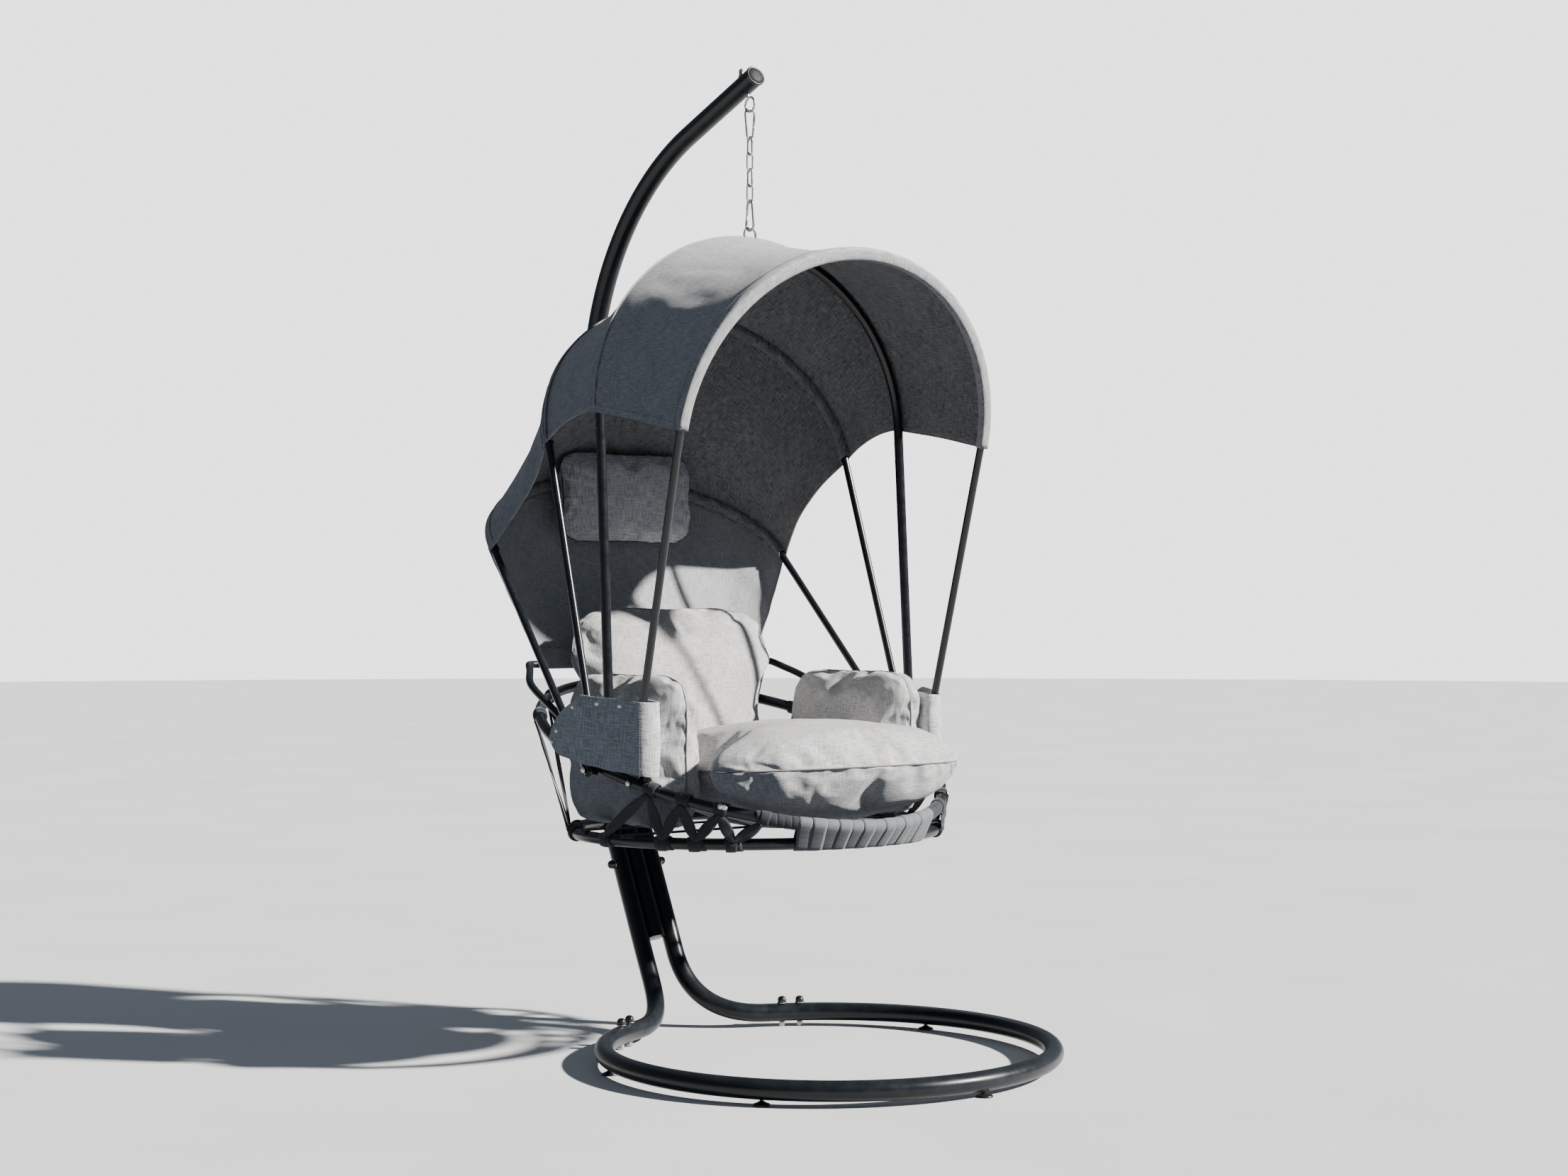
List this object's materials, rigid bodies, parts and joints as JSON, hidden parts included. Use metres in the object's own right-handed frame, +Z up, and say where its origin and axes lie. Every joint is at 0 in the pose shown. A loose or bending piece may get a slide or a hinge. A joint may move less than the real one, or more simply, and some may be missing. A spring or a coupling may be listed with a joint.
{
  "type": "hanging lounge chair",
  "caption": "Hanging basket chair with cushions and a hooped fabric canopy, on a chain from a C-shaped steel floor stand with a ring base.",
  "frame": {"origin": "on the floor, at the centre of the whole object's footprint box", "axes": "+Z up, the sitter faces -Y, the sitter's left is +X"},
  "size_m": [0.959, 1.3947, 2.0942],
  "materials": {
    "powder_coat": "satin charcoal powder coat",
    "zinc_steel": "bright zinc plate",
    "black_plastic": "satin moulded plastic",
    "grey_fabric": "heathered grey weave",
    "cushion_fabric": "heathered light grey weave",
    "charcoal_fabric": "charcoal weave",
    "slate_webbing": "slate woven webbing"
  },
  "bodies": {
    "stand": {"base_joint_bolt_1": "black_plastic", "base_joint_bolt_2": "black_plastic", "base_joint_bolt_3": "black_plastic", "base_joint_bolt_4": "black_plastic", "base_ring": "powder_coat", "leg_right": "powder_coat", "leg_top_plug_right": "black_plastic", "leg_left": "powder_coat", "leg_top_plug_left": "black_plastic", "clamp_bolt_lower": "black_plastic", "clamp_bolt_upper": "black_plastic", "pole": "powder_coat", "pole_end_cap": "black_plastic", "pole_foot_plug": "black_plastic", "eye_bolt": "zinc_steel", "eye_bolt_nut": "zinc_steel"},
    "foot_1": {"levelling_foot_1": "black_plastic"},
    "foot_2": {"levelling_foot_2": "black_plastic"},
    "foot_3": {"levelling_foot_3": "black_plastic"},
    "foot_4": {"levelling_foot_4": "black_plastic"},
    "foot_5": {"levelling_foot_5": "black_plastic"},
    "carabiner_upper": {"carabiner_upper": "zinc_steel"},
    "gate_upper": {"gate_upper": "zinc_steel"},
    "chain": {"chain_link_1": "zinc_steel", "chain_link_2": "zinc_steel", "chain_link_3": "zinc_steel", "chain_link_4": "zinc_steel", "carabiner_lower": "zinc_steel"},
    "gate_lower": {"gate_lower": "zinc_steel"},
    "chair": {"seat_rim": "powder_coat", "lower_seat_ring": "powder_coat", "main_hoop": "powder_coat", "third_hoop": "powder_coat", "rear_hoop": "powder_coat", "back_bar": "powder_coat", "front_pivot_bolt_right": "zinc_steel", "front_pivot_bolt_left": "zinc_steel", "rear_pivot_bolt_right": "zinc_steel", "rear_pivot_bolt_left": "zinc_steel", "hanger_loop": "zinc_steel", "front_webbing": "slate_webbing", "side_lacing_right": "slate_webbing", "side_lacing_left": "slate_webbing", "back_lacing": "slate_webbing", "seat_strap_1": "slate_webbing", "seat_strap_2": "slate_webbing", "seat_strap_3": "slate_webbing", "canopy_front_panel": "grey_fabric", "canopy_and_sling": "grey_fabric", "arm_panel_right": "grey_fabric", "arm_panel_left": "grey_fabric", "seat_cushion": "cushion_fabric", "back_cushion": "cushion_fabric", "arm_cushion_right": "cushion_fabric", "arm_cushion_left": "cushion_fabric", "headrest_pillow": "charcoal_fabric"},
    "front_hoop": {"front_hoop": "powder_coat", "canopy_front_hem": "grey_fabric"}
  },
  "joints": [
    {"name": "foot_1_travel", "type": "slide", "parent": "stand", "child": "foot_1", "axis": [0, 0, -1], "range_m": [0, 0.008]},
    {"name": "foot_2_travel", "type": "slide", "parent": "stand", "child": "foot_2", "axis": [0, 0, -1], "range_m": [0, 0.008]},
    {"name": "foot_3_travel", "type": "slide", "parent": "stand", "child": "foot_3", "axis": [0, 0, -1], "range_m": [0, 0.008]},
    {"name": "foot_4_travel", "type": "slide", "parent": "stand", "child": "foot_4", "axis": [0, 0, -1], "range_m": [0, 0.008]},
    {"name": "foot_5_travel", "type": "slide", "parent": "stand", "child": "foot_5", "axis": [0, 0, -1], "range_m": [0, 0.008]},
    {"name": "hook_upper_swing", "type": "hinge", "parent": "stand", "child": "carabiner_upper", "pos_m": [0, 0.04311, 1.99653], "axis": [1, 0, 0], "range_deg": [-6, 1]},
    {"name": "chain_sway", "type": "hinge", "parent": "carabiner_upper", "child": "chain", "pos_m": [0, 0.04311, 1.93968], "axis": [0, 1, 0], "range_deg": [-4, 4]},
    {"name": "chair_swivel", "type": "hinge", "parent": "chain", "child": "chair", "pos_m": [0, 0.04311, 1.74483], "axis": [0, 0, 1], "range_deg": [-45, 45]},
    {"name": "gate_upper_opening", "type": "hinge", "parent": "carabiner_upper", "child": "gate_upper", "pos_m": [0.00922, 0.04311, 1.95825], "axis": [0, -1, 0], "range_deg": [0, 20], "stiffness_Nm_per_rad": 0.02, "springref_deg": -11.46},
    {"name": "gate_lower_opening", "type": "hinge", "parent": "chain", "child": "gate_lower", "pos_m": [0, 0.05242, 1.78403], "axis": [-1, 0, 0], "range_deg": [0, 20], "stiffness_Nm_per_rad": 0.02, "springref_deg": -11.46},
    {"name": "front_hoop_fold", "type": "hinge", "parent": "chair", "child": "front_hoop", "pos_m": [0, -0.07865, 0.58264], "axis": [-1, 0, 0], "range_deg": [0, 13], "deforming": ["canopy_front_panel"]}
  ]
}
